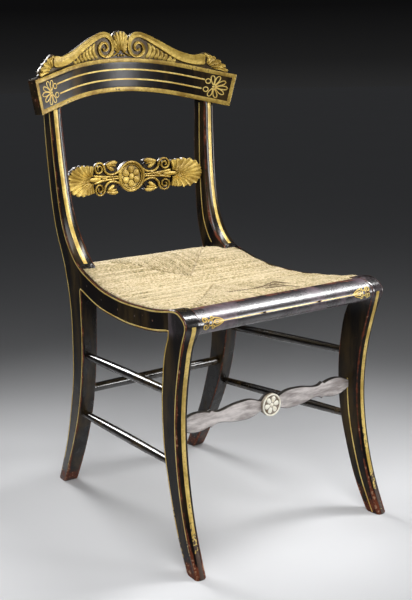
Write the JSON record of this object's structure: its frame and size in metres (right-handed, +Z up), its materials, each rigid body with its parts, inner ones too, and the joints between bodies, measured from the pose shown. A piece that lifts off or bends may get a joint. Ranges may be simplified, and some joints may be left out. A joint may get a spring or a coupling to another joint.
{
  "type": "painted side chair",
  "caption": "Painted side chair with sabre legs, a curved crest with carved cresting, a carved back slat and a woven rush seat.",
  "frame": {"origin": "middle of the chair's footprint, on the floor", "axes": "+Z up, front of the chair towards -Y, +X to the right as seen from the front"},
  "size_m": [0.4532, 0.5172, 0.8501],
  "materials": {
    "black_paint": "aged black paint under varnish, worn to red-brown on the edges",
    "gilt": "worn gilding over black paint",
    "faded_paint": "faded and rubbed dark paint",
    "cream_paint": "dull cream paint",
    "rush": "twisted rush, dry and matt",
    "bare_wood": "unfinished hardwood",
    "iron": "dark oxidised iron"
  },
  "bodies": {
    "root": {"rear_post_left": "black_paint", "rear_post_right": "black_paint", "front_leg_left": "black_paint", "front_leg_right": "black_paint", "side_facing_left": "black_paint", "side_facing_right": "black_paint", "side_list_left": "bare_wood", "side_list_right": "bare_wood", "front_list": "bare_wood", "rear_list": "bare_wood", "front_rail": "black_paint", "front_rail_nails": "iron", "facing_brads_left": "iron", "facing_brads_right": "iron", "rush_seat": "rush", "crest_tablet": "black_paint", "crest_pediment": "gilt", "pediment_dowels": "bare_wood", "crest_screws": "iron", "splat": "gilt", "upper_side_stretcher_left": "black_paint", "upper_side_stretcher_right": "black_paint", "lower_side_stretcher_left": "black_paint", "lower_side_stretcher_right": "black_paint", "rear_stretcher": "black_paint", "front_stretcher": "faded_paint", "stretcher_roundel": "cream_paint", "roundel_pin": "bare_wood"}
  },
  "joints": []
}
